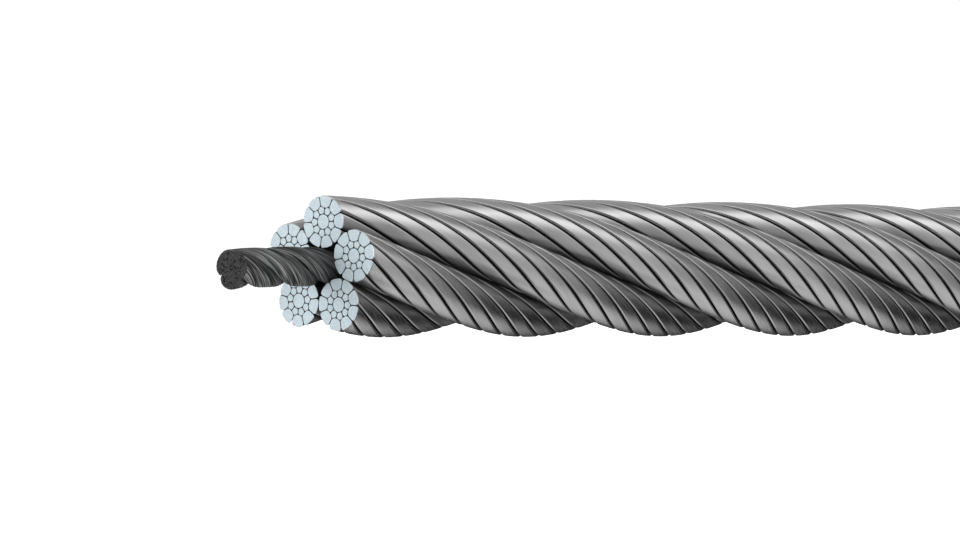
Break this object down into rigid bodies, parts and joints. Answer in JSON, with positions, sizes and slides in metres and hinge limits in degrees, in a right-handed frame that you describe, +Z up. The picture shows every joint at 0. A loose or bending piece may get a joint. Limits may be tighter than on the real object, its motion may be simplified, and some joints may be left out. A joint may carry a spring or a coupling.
{
  "type": "wire rope",
  "caption": "Straight length of steel wire rope with compacted strands in right-hand Lang lay, its dark fibre core bared at one cut end.",
  "frame": {"origin": "on the floor, under the middle of the whole length with the bare core included, and under the rope's axis", "axes": "+X along the rope, from the bare core towards the far end, and +Z up"},
  "size_m": [0.3048, 0.016, 0.016],
  "materials": {
    "wire": "drawn bright steel wire, sawn at the ends",
    "core": "dark greased fibre, laid in three strands"
  },
  "bodies": {
    "root": {"strand_1": "wire", "strand_2": "wire", "strand_3": "wire", "strand_4": "wire", "strand_5": "wire", "core_strand_1": "core", "core_strand_2": "core", "core_strand_3": "core"}
  },
  "joints": []
}
